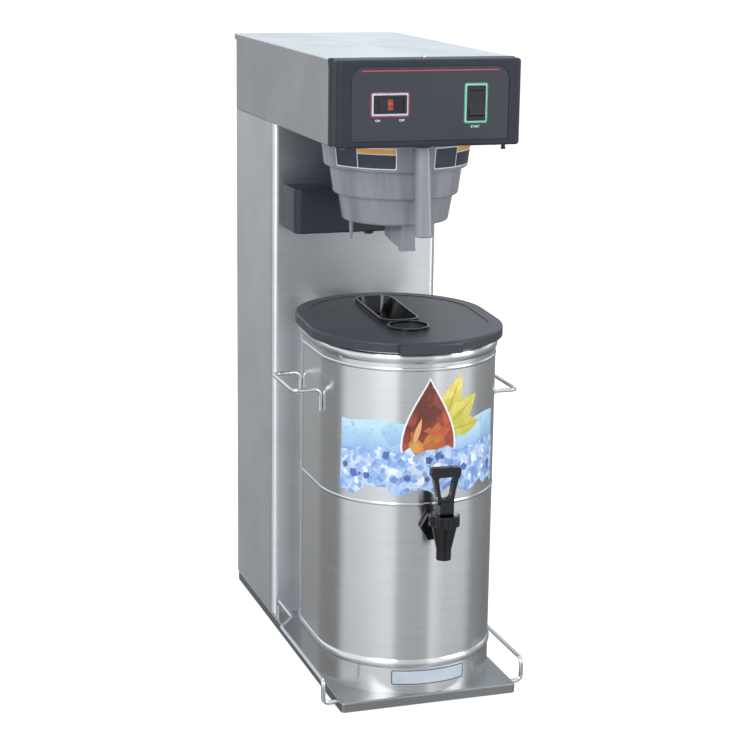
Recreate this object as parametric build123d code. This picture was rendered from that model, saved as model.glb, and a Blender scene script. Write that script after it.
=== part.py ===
from build123d import *
import math
import os

# Countertop iced tea maker: a brewer with a trunk and an overhanging hood, a
# brew funnel under the hood, and a narrow oval tea dispenser on the base.
# The pieces are drawn from the centre of the base on the counter, +X to the
# right as seen from the front, -Y to the front, +Z up, in millimetres.  They are
# written with the origin under the middle of the footprint, faucet to inlet.

# Cabinet
body_width = 254.0
overall_height = 874.0
sheet = 1.2
fit_gap = 0.1

# Base tray and feet
base_depth = 564.0
tray_top = 14.5
tray_sheet = 1.5
tray_corner = 6.0
tray_bend = 2.4
foot_proud = 1.0
foot_radius = 12.0
foot_edge_x = 22.0
foot_edge_y = 27.0

# Dispenser guide rails, bent from wire
guide_wire = 6.0
guide_bend = 8.0
guide_gap = 15.5
guide_height = 39.0
guide_front = 256.0
guide_front_height = 7.0
guide_jog_start = 46.0
guide_jog_end = 12.0
guide_tail_gap = 14.0
guide_tail_edge = 7.0

# Trunk and back panel
trunk_depth = 206.0
trunk_corner = 10.0
hood_height = 114.0
rear_flange = 12.0
back_screw_shank = 4.0
back_screw_head = 8.0
back_screw_head_height = 2.2
back_screw_length = 7.0
back_screw_rows = 4
back_screw_margin = 46.0

# Hood and cover
hood_depth = 480.0
hood_bend = 2.0
hood_window_edge = 15.0
hood_passage_width = 180.0
hood_passage_depth = 150.0
cover_gap = 0.3
cover_rear_overhang = 5.0
cover_flange = 9.0
cover_bend = 1.6

# Control panel, a moulded bezel in front of the hood
panel_depth = 40.0
panel_wall = 3.0
panel_lift = 1.2
panel_rise = 0.5
panel_side_lap = 0.5
panel_flange_depth = 11.0
panel_step = 0.4
panel_corner_x = 7.0
panel_corner_y = 9.0
panel_edge_round = 4.0
panel_screw_head = 8.5
panel_screw_height = 2.5
panel_screw_shank = 4.0
panel_screw_setback = 12.0
panel_pin_diameter = 6.6
panel_pin_root = 13.0
panel_pin_length = 8.0
panel_pin_x = 111.7
panel_pin_setback = 17.0

# Printed label on the panel
label_half = 109.0
label_lift = 9.3
label_drop = 8.0
label_gap = 0.7
label_top_round = 19.0
label_foot_round = 3.0
label_thickness = 0.6
label_recess = 1.3

# Rocker switches: length runs along the swing
power_x = -55.35
power_height = 57.25
power_bezel = (44.1, 23.5)
power_rocker_size = (35.0, 18.5)
start_x = 62.8
start_height = 57.0
start_bezel = (46.0, 26.0)
start_rocker_size = (34.0, 20.0)
switch_bezel_height = 1.8
switch_lip = 0.6
switch_depth = 22.0
rocker_gap = 0.15
rocker_pivot_depth = 5.0
rocker_back = 4.0
rocker_face = 4.4
rocker_flare = 6.0
power_tilt = 6.0
start_tilt = 4.0
trunnion_diameter = 3.0
trunnion_length = 1.2
trunnion_play = 0.05
lamp_width = 6.8
lamp_height = 14.0
lamp_depth = 4.0

# Brew funnel, its heights measured down from the hood
funnel_y = -100.0
funnel_wall = 2.2
funnel_flange_radius = 108.0
funnel_flange_gap = 0.6
funnel_flange_thickness = 2.0
funnel_wing_length = 120.0
tier_1_top_radius = 103.5
tier_1_foot_radius = 98.8
tier_1_drop = 39.2
tier_2_top_radius = 91.3
tier_2_foot_radius = 86.5
tier_2_drop = 77.0
tier_3_top_radius = 79.6
tier_3_foot_radius = 73.4
tier_3_drop = 113.6
tier_round = 4.0
spout_width = 20.0
spout_front = -158.0
spout_drop = 150.5
spout_throat_length = 10.4
spout_throat_rise = 4.6
spout_heel_y = -87.5
spout_heel_rise = 12.4
spout_belly_y = -114.8
spout_belly_rise = 7.0
spout_collar = 0.5
drip_pin_x = -63.0
drip_pin_drop = 140.5
drip_pin_root = 7.0
drip_pin_tip = 3.6
handle_top_y = -219.0
handle_foot_y = -233.0
handle_drop = 120.5
handle_top_width = 21.0
handle_foot_width = 24.5
handle_top_depth = 12.0
handle_foot_depth = 14.0
handle_bridge_height = 20.0

# Rails that carry the funnel
rail_sheet = 1.2
rail_side_gap = 0.5
rail_seat_gap = 0.3
rail_lip = 5.5
rail_foot = 11.0
rail_front_gap = 2.0
rail_length = 206.0

# Filter basket in the funnel
basket_wall = 1.0
basket_rim_gap = 3.0
basket_side_gap = 2.2
basket_depth = 36.0
basket_taper = 4.0
basket_rim_thickness = 1.8
basket_holes = 12
basket_hole = 5.0
basket_hole_circle = 55.0

# Spray head
spray_radius = 30.0
spray_lift = 0.2
spray_hole_gap = 2.0
spray_flange_lap = 5.0
spray_flange_thickness = 2.0
spray_thickness = 6.5
spray_hub_radius = 10.0
spray_hub_height = 12.0
spray_jets = 6
spray_jet = 3.0
spray_jet_circle = 17.0

# Dilution housing on the trunk and its nozzle
housing_width = 210.0
housing_x = -4.0
housing_depth = 60.0
housing_drop = 152.0
housing_height = 64.0
housing_corner = 10.5
housing_edge = 2.0
housing_wall = 2.5
nozzle_x = 4.0
nozzle_diameter = 14.0
nozzle_bore = 8.0
nozzle_setback = 10.0
nozzle_proud = 4.0
nozzle_height = 28.0
elbow_diameter = 10.0
elbow_bore = 6.0
elbow_height = 17.0
elbow_reach = 6.0
passage_play = 0.05

# Hot water tank and its plumbing inside the trunk
tank_width = 190.0
tank_depth = 168.0
tank_height = 250.0
tank_headroom = 28.0
tank_corner = 14.0
tank_wall = 1.2
tank_front_gap = 16.0
tank_lid_thickness = 2.0
shelf_flange = 15.0
shelf_front_gap = 12.0
shelf_depth = 180.0
element_diameter = 8.0
element_spread = 60.0
element_clearance = 28.0
element_bend = 14.0
element_stand = 12.0
element_rear_gap = 35.0
probe_diameter = 6.0
probe_drop = 150.0
probe_stand = 9.0
probe_x = 60.0
probe_y = 150.0
valve_block = (34.0, 34.0, 30.0)
valve_coil_radius = 15.0
valve_coil_height = 26.0
brew_valve_y = 150.0
line_diameter = 10.0
line_bend = 14.0
brew_line_rise = 66.0
inlet_x = 60.0
inlet_z = 70.0
inlet_block_depth = 40.0
inlet_pipe = 16.0
inlet_proud = 22.0
inlet_nut = 22.0
inlet_nut_length = 8.0
inlet_line_reach = 26.0
fill_rear_gap = 40.0
fill_turn_height = 160.0
gland_x = -70.0
gland_z = 70.0
gland_pipe = 16.0
gland_nut = 24.0
gland_nut_length = 9.0
gland_bore = 8.0
gland_proud = 16.0

# Control board on the floor of the hood
board_width = 170.0
board_depth = 80.0
board_thickness = 1.6
board_stand = 9.0
board_stand_radius = 4.0
board_y = 20.0
board_part_height = 16.0

# Tea dispenser, a narrow oval: two half circles joined by straight sides
dispenser_y = -120.0
shell_radius = 124.0
shell_straight = 71.0
shell_wall = 1.2
shell_top = 508.2
shell_clearance = 0.1
top_bead = (28.0, 14.0, 2.4)
neck_bead = (38.5, 33.5, 0.9)
mid_bead = (284.0, 289.0, 0.9)
foot_bead = (51.5, 64.5, 2.2)
hem_height = 4.4
hem_bulge = 2.4
floor_z = 235.0
floor_skirt = 12.0
floor_gap = 0.05

# Side handles of the dispenser, bent from wire
grip_wire = 5.6
grip_span = 100.0
grip_reach = 41.0
grip_leg = 29.5
grip_bend = 9.0
left_grip_shift = 2.0
left_grip_drop = 81.9
right_grip_shift = 8.0
right_grip_drop = 102.7

# Name plate on the skirt
plate_width = 107.0
plate_foot = 28.0
plate_head = 50.0
plate_thickness = 0.8
plate_corner = 3.0

# Faucet
faucet_reach = 42.5
shank_z = 257.5
shank_diameter = 16.0
shank_bore = 9.0
shank_inside = 14.0
shank_play = 0.05
nut_flats = 36.0
nut_length = 6.5
inner_nut_flats = 30.0
inner_nut_length = 5.5
gasket_diameter = 34.0
gasket_thickness = 3.0
spout_tube_radius = 10.0
spout_tube_foot = 223.0
spout_tube_head = 236.0
spout_bore = 13.0
seat_z = 262.0
faucet_cup_radius = 17.0
faucet_cup_top = 274.0
faucet_chamber_radius = 12.5
bonnet_radius = 21.0
bonnet_foot = 271.0
bonnet_top = 285.5
bonnet_scallops = 8
bonnet_scallop_radius = 12.0
bonnet_scallop_depth = 1.6
seat_cup_radius = 9.5
seat_cup_height = 4.0
seat_stem = 6.0
seat_stem_top = 271.8
pivot_z = 279.2
pivot_pin = 4.0
pivot_play = 0.05
lever_barrel_radius = 4.6
lever_width = 19.6
lever_slot_gap = 0.3
lever_slot_front = 15.0
lever_block_depth = 18.4
lever_block_foot = 286.2
lever_block_head = 303.0
lever_plate_thickness = 10.0
lever_outline = [(11.8, 300.0), (11.6, 307.0), (13.9, 320.0), (17.2, 334.0), (20.6, 339.5)]
lever_top = 350.0
lever_hole_foot = 307.0
lever_hole_head = 337.0
lever_hole_foot_width = 13.0
lever_hole_head_width = 22.0
lever_fork = 9.0

# Dispenser lid
lid_turn = 4.0
lid_radius = 135.0
lid_straight = 73.0
lid_seat_gap = 0.3
lid_drop = 13.5
lid_plate = 3.0
lid_skirt = 2.5
lid_edge_round = 3.0
lid_step_inset = 20.0
lid_step_depth = 0.8
ridge_gap = 3.0
ridge_wall = 2.0
ridge_drop = 10.0
tab_width = 87.0
tab_reach = 180.5
tab_drop = 2.0
tab_corner = 9.0
port_x = -6.0
port_width = 57.0
port_front = -46.0
port_rear = 126.0
port_corner = 21.0
port_wall = 3.0
port_rise = 5.0
port_depth = 22.0
port_taper = 14.0
port_floor = 3.0
port_drain_width = 14.0
port_drain_length = 90.0
ring_x = -6.0
ring_radius = 28.8
ring_wall = 2.6
ring_reach = 78.0

hood_bottom = overall_height - hood_height
half_width = body_width / 2
back_y = base_depth / 2
trunk_y = back_y - trunk_depth
hood_y = back_y - hood_depth
wall_top = overall_height - sheet
inside = half_width - sheet
panel_front_y = hood_y - panel_depth
panel_foot = hood_bottom + panel_lift
panel_head = overall_height + panel_rise
label_y = panel_front_y + label_recess - label_thickness
label_foot = hood_bottom + label_lift
label_head = overall_height - label_drop
power_z = hood_bottom + power_height
start_z = hood_bottom + start_height


def slab(x0, x1, y0, y1, z0, z1):
    """A box given by its limits."""
    return Pos((x0 + x1) / 2, (y0 + y1) / 2, (z0 + z1) / 2) * Box(x1 - x0, y1 - y0, z1 - z0)


def post(x, y, z0, z1, radius):
    """An upright round bar."""
    return Pos(x, y, (z0 + z1) / 2) * Cylinder(radius, z1 - z0)


def bar_y(x, z, y0, y1, radius):
    """A round bar along Y."""
    return Pos(x, (y0 + y1) / 2, z) * Rot(90, 0, 0) * Cylinder(radius, y1 - y0)


def bar_x(x0, x1, y, z, radius):
    """A round bar along X."""
    return Pos((x0 + x1) / 2, y, z) * Rot(0, 90, 0) * Cylinder(radius, x1 - x0)


def turned(points):
    """A solid turned about Z from a closed outline of (radius, z) points."""
    return revolve(Plane.XZ * make_face(Polyline(*points, close=True)), Axis.Z)


def rod(points, bends, diameter):
    """Round wire or tube along straight runs joined by tangent arcs."""
    path = FilletPolyline(*points, radius=bends)
    start = Plane(origin=path @ 0, z_dir=path % 0)
    return sweep(start * Circle(diameter / 2), path=path)


def front_rounded(half, y0, y1, radius):
    """Plan rectangle with only its two front corners rounded."""
    plan = Pos(0, (y0 + y1) / 2) * Rectangle(2 * half, y1 - y0)
    return fillet(plan.vertices().group_by(Axis.Y)[0], radius)


def save(node, shape):
    front = faucet_y - bonnet_radius
    back = back_y + inlet_proud
    shape = Pos(0, -(front + back) / 2, 0) * shape
    shape.label = node
    export_step(shape, f"parts/{node}.step")


def group(*solids):
    return Compound(list(solids))


def both_sides(shape):
    return group(shape, mirror(shape, Plane.YZ))


# ---- Base tray: a folded pan, open underneath -------------------------------

def base_tray():
    plan = RectangleRounded(body_width, base_depth, tray_corner)
    pan = Pos(0, 0, foot_proud) * extrude(plan, tray_top - foot_proud)
    pan = fillet(pan.edges().filter_by_position(Axis.Z, tray_top, tray_top), tray_bend)
    hollow = RectangleRounded(body_width - 2 * tray_sheet, base_depth - 2 * tray_sheet,
                              tray_corner - tray_sheet)
    return pan - Pos(0, 0, foot_proud) * extrude(hollow, tray_top - tray_sheet - foot_proud)


def tray_feet():
    x = half_width - foot_edge_x
    y = back_y - foot_edge_y
    foot = post(0, 0, 0, tray_top - tray_sheet, foot_radius)
    foot = chamfer(foot.edges().filter_by_position(Axis.Z, 0, 0), 1.5)
    return group(*[Pos(sx * x, sy * y, 0) * foot for sx in (-1, 1) for sy in (-1, 1)])


def guide_rail():
    """Wire rail on the left: out of the tray's side, up, back, and in to the tray."""
    run = half_width + guide_gap + guide_wire / 2
    tail = half_width - guide_tail_edge
    end = trunk_y - guide_tail_gap
    points = [(-half_width, -guide_front, guide_front_height),
              (-run, -guide_front, guide_front_height),
              (-run, -guide_front, guide_height),
              (-run, -guide_jog_start, guide_height),
              (-tail, -guide_jog_end, guide_height),
              (-tail, end, guide_height),
              (-tail, end, tray_top)]
    return rod(points, guide_bend, guide_wire)


# ---- Trunk, back panel, hood and cover --------------------------------------

def back_screw_places():
    x = inside - rear_flange / 2
    first = tray_top + back_screw_margin
    last = wall_top - back_screw_margin
    pitch = (last - first) / (back_screw_rows - 1)
    return [(side * x, first + i * pitch) for side in (-1, 1) for i in range(back_screw_rows)]


def drill_back(shape):
    for x, z in back_screw_places():
        shape -= bar_y(x, z, back_y - 5, back_y + 1, back_screw_shank / 2 + passage_play)
    return shape


def cabinet_section(y0, corner):
    """Plan of a folded wrap: front, two sides and flanges behind the back panel."""
    seat = back_y - sheet
    outer = front_rounded(half_width, y0, back_y, corner)
    inner = front_rounded(inside, y0 + sheet, seat - sheet, corner - sheet)
    gate = Pos(0, seat - sheet / 2) * Rectangle(2 * (inside - rear_flange), 2 * sheet)
    recess = Pos(0, seat + sheet / 2) * Rectangle(2 * inside, sheet)
    return outer - inner - gate - recess


def trunk_shell():
    wrap = Pos(0, 0, tray_top) * extrude(cabinet_section(trunk_y, trunk_corner), hood_bottom - tray_top)
    wrap -= bar_y(nozzle_x, elbow_axis_z, trunk_y - 1, trunk_y + sheet + 1, elbow_diameter / 2 + passage_play)
    return drill_back(wrap)


def back_panel():
    half = inside - fit_gap
    panel = slab(-half, half, back_y - sheet, back_y, tray_top, wall_top - cover_gap)
    panel -= bar_y(inlet_x, inlet_z, back_y - 5, back_y + 5, inlet_pipe / 2 + passage_play)
    panel -= bar_y(gland_x, gland_z, back_y - 5, back_y + 5, gland_pipe / 2 + passage_play)
    return drill_back(panel)


def back_panel_screws():
    head = bar_y(0, 0, back_y, back_y + back_screw_head_height, back_screw_head / 2)
    head = chamfer(head.edges().group_by(Axis.Y)[-1], 1.0)
    screw = head + bar_y(0, 0, back_y - back_screw_length, back_y, back_screw_shank / 2)
    return group(*[Pos(x, 0, z) * screw for x, z in back_screw_places()])


def hood_shell():
    seat = back_y - sheet
    box = slab(-half_width, half_width, hood_y, back_y, hood_bottom, wall_top)
    low = box.edges().filter_by(Axis.Y).group_by(Axis.Z)[0]
    box = fillet(low, hood_bend)
    floor = hood_bottom + sheet
    box -= slab(-inside, inside, hood_y + sheet, seat - sheet, floor, wall_top)
    gate = inside - rear_flange
    box -= slab(-gate, gate, seat - sheet - 1, back_y, floor, wall_top)
    box -= slab(-inside, inside, seat, back_y, hood_bottom, wall_top)
    edge = hood_window_edge
    box -= slab(-inside + edge, inside - edge, hood_y, hood_y + sheet, floor + edge, wall_top - edge)
    box -= post(0, funnel_y, hood_bottom, floor, spray_radius + spray_hole_gap)
    middle = trunk_y + trunk_depth / 2
    passage = RectangleRounded(hood_passage_width, hood_passage_depth, 10)
    box -= Pos(0, middle, hood_bottom) * extrude(passage, sheet)
    return drill_back(box)


def top_cover():
    half = half_width + cover_gap + sheet
    back = back_y + cover_rear_overhang
    cover = slab(-half, half, hood_y, back, overall_height - cover_flange, overall_height)
    bends = cover.edges().filter_by_position(Axis.Z, overall_height, overall_height)
    bends = bends.sort_by(Axis.Y)[1:]
    cover = fillet(bends, cover_bend)
    hollow = half_width + cover_gap
    return cover - slab(-hollow, hollow, hood_y, back - sheet, overall_height - cover_flange, wall_top)


# ---- Control panel ----------------------------------------------------------

def bezel_plan(half, y0, y1, rx, ry):
    """Plan with a flat back at y1, a flat front at y0 and elliptical front corners."""
    right = EllipticalCenterArc((half - rx, y0 + ry), rx, ry, 270, arc_size=90)
    left = EllipticalCenterArc((rx - half, y0 + ry), rx, ry, 180, arc_size=90)
    rim = [right, left,
           Line((rx - half, y0), (half - rx, y0)),
           Line((half, y0 + ry), (half, y1)),
           Line((half, y1), (-half, y1)),
           Line((-half, y1), (-half, y0 + ry))]
    return make_face(Curve() + rim)


def label_plan(gap):
    """Label outline seen from the front, with large upper corners."""
    plan = Rectangle(2 * label_half - 2 * gap, label_head - label_foot - 2 * gap)
    rows = plan.vertices().group_by(Axis.Y)
    plan = fillet(rows[-1], label_top_round - gap)
    return fillet(plan.vertices().group_by(Axis.Y)[0], label_foot_round - gap)


def label_slab(gap, y0, y1):
    middle = (label_foot + label_head) / 2
    plane = Plane(origin=(0, y1, middle), x_dir=(1, 0, 0), z_dir=(0, -1, 0))
    return extrude(plane * label_plan(gap), y1 - y0)


def switch_cut(x, z, bezel, upright, y0, y1):
    """Hole in the panel for a switch body, a lip smaller than its bezel."""
    length = bezel[0] - 2 * switch_lip + 2 * fit_gap
    width = bezel[1] - 2 * switch_lip + 2 * fit_gap
    size = (width, length) if upright else (length, width)
    return slab(x - size[0] / 2, x + size[0] / 2, y0, y1, z - size[1] / 2, z + size[1] / 2)


def control_panel():
    half = half_width + panel_side_lap
    front = half - panel_step
    plan = bezel_plan(front, panel_front_y, hood_y, panel_corner_x, panel_corner_y)
    body = Pos(0, 0, panel_foot) * extrude(plan, panel_head - panel_foot)
    rims = body.edges().filter_by_position(Axis.Z, panel_foot, panel_foot)
    rims += body.edges().filter_by_position(Axis.Z, panel_head, panel_head)
    rims = [edge for edge in rims if edge.center().Y < hood_y - 1]
    body = fillet(rims, panel_edge_round)
    body += slab(-half, half, hood_y - panel_flange_depth, hood_y, panel_foot, panel_head)
    hollow = bezel_plan(front - panel_wall, panel_front_y + panel_wall, hood_y,
                        panel_corner_x - panel_wall, panel_corner_y - panel_wall)
    low = panel_foot + panel_wall
    body -= Pos(0, 0, low) * extrude(hollow, panel_head - panel_wall - low)
    body -= label_slab(0, panel_front_y - 1, panel_front_y + label_recess)
    y1 = panel_front_y + panel_wall + 1
    body -= switch_cut(power_x, power_z, power_bezel, False, panel_front_y - 1, y1)
    body -= switch_cut(start_x, start_z, start_bezel, True, panel_front_y - 1, y1)
    hole = panel_screw_shank / 2 + passage_play
    screw_y = hood_y - panel_screw_setback
    return body - post(0, screw_y, panel_head - panel_wall - 1, panel_head + 1, hole)


def control_overlay():
    sheet_face = label_slab(label_gap, label_y, label_y + label_thickness)
    y0 = label_y - 1
    y1 = label_y + label_thickness + 1
    sheet_face -= switch_cut(power_x, power_z, power_bezel, False, y0, y1)
    return sheet_face - switch_cut(start_x, start_z, start_bezel, True, y0, y1)


def panel_screw():
    y = hood_y - panel_screw_setback
    head = post(0, y, panel_head, panel_head + panel_screw_height, panel_screw_head / 2)
    head = chamfer(head.edges().group_by(Axis.Z)[-1], 1.1)
    head -= slab(-panel_screw_head, panel_screw_head, y - 0.6, y + 0.6,
                 panel_head + panel_screw_height - 1, panel_head + panel_screw_height)
    return head + post(0, y, panel_head - 8, panel_head, panel_screw_shank / 2)


def panel_pin():
    """Stub under the panel with a flared root and a flat head."""
    radius = panel_pin_diameter / 2
    neck = radius - 0.6
    pin = turned([(0, -panel_pin_length), (radius, -panel_pin_length), (radius, -panel_pin_length + 2),
                  (neck, -panel_pin_length + 2.6), (neck, -1), (panel_pin_root / 2, 0), (0, 0)])
    return Pos(panel_pin_x, hood_y - panel_pin_setback, panel_foot) * pin


# ---- Rocker switches, built lengthwise along X and facing -Y ----------------

pivot_y = -switch_bezel_height + rocker_pivot_depth


def rocker_solid(size, play):
    """Rocker about its pivot: ends on one arc, and a shallow V across its face."""
    radius = size[0] / 2
    rise = rocker_face + radius * math.tan(math.radians(rocker_flare))
    outline = Polyline((-radius, rocker_back), (-radius, -rise), (0, -rocker_face),
                       (radius, -rise), (radius, rocker_back), close=True)
    face = make_face(outline) & Circle(radius)
    half = size[1] / 2
    body = Pos(0, 0, -half) * extrude(face, size[1])
    pin = trunnion_diameter / 2 - play
    return body + post(0, 0, -half - trunnion_length, half + trunnion_length, pin)


def switch_body(bezel, size):
    """Bezel on the panel and a box behind it, with a well that the rocker swings in."""
    length, width = bezel
    collar = slab(-length / 2, length / 2, -switch_bezel_height, 0, -width / 2, width / 2)
    collar = fillet(collar.edges().group_by(Axis.Y)[0], 0.8)
    tail_x = length / 2 - switch_lip
    tail_z = width / 2 - switch_lip
    collar += slab(-tail_x, tail_x, 0, switch_depth, -tail_z, tail_z)
    x = size[0] / 2 + rocker_gap
    z = size[1] / 2 + rocker_gap
    sweep_depth = rocker_back + x * math.sin(math.radians(rocker_flare + 2)) + 0.5
    collar -= slab(-x, x, -switch_bezel_height, pivot_y + sweep_depth, -z, z)
    reach = size[1] / 2 + trunnion_length + rocker_gap
    return collar - post(0, pivot_y, -reach, reach, trunnion_diameter / 2)


def place_switch(shape, x, z, upright, tilt=0.0):
    """Tilt about the pivot, turn an upright switch, and set it on the label."""
    turn = Rot(0, 90, 0) if upright else Rot(0, 0, 0)
    return Pos(x, label_y, z) * turn * Pos(0, pivot_y, 0) * Rot(0, 0, tilt) * shape


def power_parts():
    body = place_switch(Pos(0, -pivot_y, 0) * switch_body(power_bezel, power_rocker_size),
                        power_x, power_z, False)
    rocker = rocker_solid(power_rocker_size, trunnion_play)
    lamp = slab(-lamp_width / 2, lamp_width / 2, -20, -rocker_face + lamp_depth,
                -lamp_height / 2, lamp_height / 2)
    lens = rocker & lamp
    return (body, place_switch(rocker - lamp, power_x, power_z, False, -power_tilt),
            place_switch(lens, power_x, power_z, False, -power_tilt))


def start_parts():
    body = place_switch(Pos(0, -pivot_y, 0) * switch_body(start_bezel, start_rocker_size),
                        start_x, start_z, True)
    rocker = rocker_solid(start_rocker_size, trunnion_play)
    return body, place_switch(rocker, start_x, start_z, True, -start_tilt)


# ---- Brew funnel: three tapered tiers, a spout channel and a grip -----------

funnel_head = hood_bottom - funnel_flange_gap
funnel_flange_foot = funnel_head - funnel_flange_thickness
tier_1_foot = hood_bottom - tier_1_drop
tier_2_foot = hood_bottom - tier_2_drop
tier_3_foot = hood_bottom - tier_3_drop
spout_foot = hood_bottom - spout_drop
drip_pin_foot = hood_bottom - drip_pin_drop
handle_foot = hood_bottom - handle_drop


def brew_funnel():
    head = funnel_head
    wall = funnel_wall
    outer = turned([(0, tier_3_foot), (tier_3_foot_radius, tier_3_foot),
                    (tier_3_top_radius, tier_2_foot), (tier_2_foot_radius, tier_2_foot),
                    (tier_2_top_radius, tier_1_foot), (tier_1_foot_radius, tier_1_foot),
                    (tier_1_top_radius, head), (0, head)])
    corners = [(tier_3_foot, tier_3_foot_radius), (tier_2_foot, tier_2_foot_radius),
               (tier_1_foot, tier_1_foot_radius)]
    rims = [edge for edge in outer.edges().filter_by(GeomType.CIRCLE)
            for z, radius in corners
            if abs(edge.center().Z - z) < 0.01 and abs(edge.radius - radius) < 0.01]
    outer = fillet(rims, tier_round)
    inner = turned([(0, tier_3_foot + wall), (tier_3_foot_radius - wall, tier_3_foot + wall),
                    (tier_3_top_radius - wall, tier_2_foot + wall),
                    (tier_2_foot_radius - wall, tier_2_foot + wall),
                    (tier_2_top_radius - wall, tier_1_foot + wall),
                    (tier_1_foot_radius - wall, tier_1_foot + wall),
                    (tier_1_top_radius - wall, head), (0, head)])
    flange = post(0, 0, funnel_flange_foot, head, funnel_flange_radius)
    half = funnel_flange_radius
    wing = funnel_wing_length / 2
    flange += slab(-half, half, -wing, wing, funnel_flange_foot, head)
    centre = Pos(0, funnel_y, 0)
    solid = centre * (outer + flange) + spout(0) + funnel_grip()
    solid -= centre * inner
    solid -= spout(wall)
    pin = Pos(0, 0, (tier_3_foot + drip_pin_foot) / 2) * Rot(180, 0, 0) * Cone(
        drip_pin_root / 2, drip_pin_tip / 2, tier_3_foot - drip_pin_foot)
    return solid + Pos(drip_pin_x, funnel_y, 0) * pin


def spout(wall):
    """Channel under the funnel's floor, and with a wall its hollow."""
    deep = tier_3_foot + funnel_wall
    rear = spout_front + spout_throat_length - wall
    front = spout_front + wall
    heel_y = spout_heel_y - wall
    heel = (heel_y, spout_foot + spout_heel_rise + wall)
    belly = (spout_belly_y, spout_foot + spout_belly_rise + wall)
    throat = (rear, spout_foot + spout_throat_rise + wall)
    rim = Curve() + [Line((heel_y, deep), heel), ThreePointArc(heel, belly, throat),
                     Line(throat, (rear, spout_foot)), Line((rear, spout_foot), (front, spout_foot)),
                     Line((front, spout_foot), (front, deep)), Line((front, deep), (heel_y, deep))]
    width = spout_width - 2 * wall
    plane = Plane(origin=(-width / 2, 0, 0), x_dir=(0, 1, 0), z_dir=(1, 0, 0))
    channel = extrude(plane * make_face(rim), width)
    if wall:
        return channel
    edge = spout_collar
    half = spout_width / 2 + edge
    return channel + slab(-half, half, front - edge, rear + edge,
                          spout_foot, spout_foot + spout_throat_rise)


def funnel_grip():
    """Tapered upright grip with a round front, joined to the top tier."""
    def section(z, y, width, depth):
        plan = front_rounded(width / 2, y, y + depth, width / 2 - 1.5)
        return Pos(0, 0, z) * plan
    grip = loft([section(handle_foot, handle_foot_y, handle_foot_width, handle_foot_depth),
                 section(funnel_flange_foot, handle_top_y, handle_top_width, handle_top_depth)])
    grip = fillet(grip.edges().group_by(Axis.Z)[0], 2.5)
    wall_y = funnel_y - tier_1_top_radius + funnel_wall
    half = handle_top_width / 2 - 1
    return grip + slab(-half, half, handle_top_y + handle_top_depth / 2, wall_y,
                       funnel_flange_foot - handle_bridge_height, funnel_flange_foot)


def filter_basket():
    """Perforated cup whose rim rests on the funnel's top step."""
    seat = tier_1_foot + funnel_wall
    rim = tier_1_foot_radius - funnel_wall - basket_rim_gap
    mouth = tier_2_top_radius - funnel_wall - basket_side_gap
    foot = mouth - basket_taper
    low = seat - basket_depth
    top = seat + basket_rim_thickness
    wall = basket_wall
    cup = turned([(0, low), (foot, low), (mouth, seat), (rim, seat), (rim, top),
                  (mouth - wall, top), (foot - wall, low + wall), (0, low + wall)])
    for i in range(basket_holes):
        a = 2 * math.pi * i / basket_holes
        x = basket_hole_circle * math.cos(a)
        y = basket_hole_circle * math.sin(a)
        cup -= post(x, y, low - 1, low + wall + 1, basket_hole / 2)
    return Pos(0, funnel_y, 0) * cup


def funnel_rails():
    """Pair of folded rails that hang from the hood and carry the flange."""
    inner = funnel_flange_radius + rail_side_gap
    lip_top = funnel_flange_foot - rail_seat_gap
    lip = lip_top - rail_sheet
    front = hood_y + rail_front_gap
    back = front + rail_length
    rail = slab(inner, inner + rail_sheet, front, back, lip, hood_bottom)
    rail += slab(inner + rail_sheet - rail_lip, inner + rail_sheet, front, back, lip, lip_top)
    rail += slab(inner, inner + rail_foot, front, back, hood_bottom - rail_sheet, hood_bottom)
    return both_sides(rail)


spray_foot = hood_bottom + spray_lift


def spray_head():
    seat = hood_bottom + sheet
    rim = spray_radius + spray_hole_gap + spray_flange_lap
    top = spray_foot + spray_thickness
    head = turned([(0, spray_foot), (spray_radius, spray_foot), (spray_radius, seat),
                   (rim, seat), (rim, seat + spray_flange_thickness),
                   (spray_radius, top), (spray_hub_radius, top),
                   (spray_hub_radius, top + spray_hub_height), (0, top + spray_hub_height)])
    head -= post(0, 0, spray_foot + 2, spray_foot + spray_thickness - 1.5, spray_radius - 4)
    for i in range(spray_jets):
        a = 2 * math.pi * i / spray_jets
        head -= post(spray_jet_circle * math.cos(a), spray_jet_circle * math.sin(a),
                     spray_foot - 1, spray_foot + 3, spray_jet / 2)
    return Pos(0, funnel_y, 0) * head


# ---- Dilution housing and nozzle --------------------------------------------

housing_y = trunk_y - housing_depth
housing_foot = hood_bottom - housing_drop
housing_head = housing_foot + housing_height
nozzle_y = housing_y + nozzle_setback
elbow_axis_z = housing_foot + elbow_height


def dilution_housing():
    half = housing_width / 2
    plan = front_rounded(half, housing_y, trunk_y, housing_corner)
    body = Pos(0, 0, housing_foot) * extrude(plan, housing_head - housing_foot)
    rims = [edge for edge in body.edges().filter_by_position(Axis.Z, housing_foot, housing_head)
            if edge.bounding_box().size.Z < 1 and edge.center().Y < trunk_y - 1]
    body = fillet(rims, housing_edge)
    inner = front_rounded(half - housing_wall, housing_y + housing_wall, trunk_y,
                          housing_corner - housing_wall)
    low = housing_foot + housing_wall
    body -= Pos(0, 0, low) * extrude(inner, housing_head - housing_wall - low)
    body = Pos(housing_x, 0, 0) * body
    return body - post(nozzle_x, nozzle_y, housing_foot - 1, low + 1, nozzle_diameter / 2 + passage_play)


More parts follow.
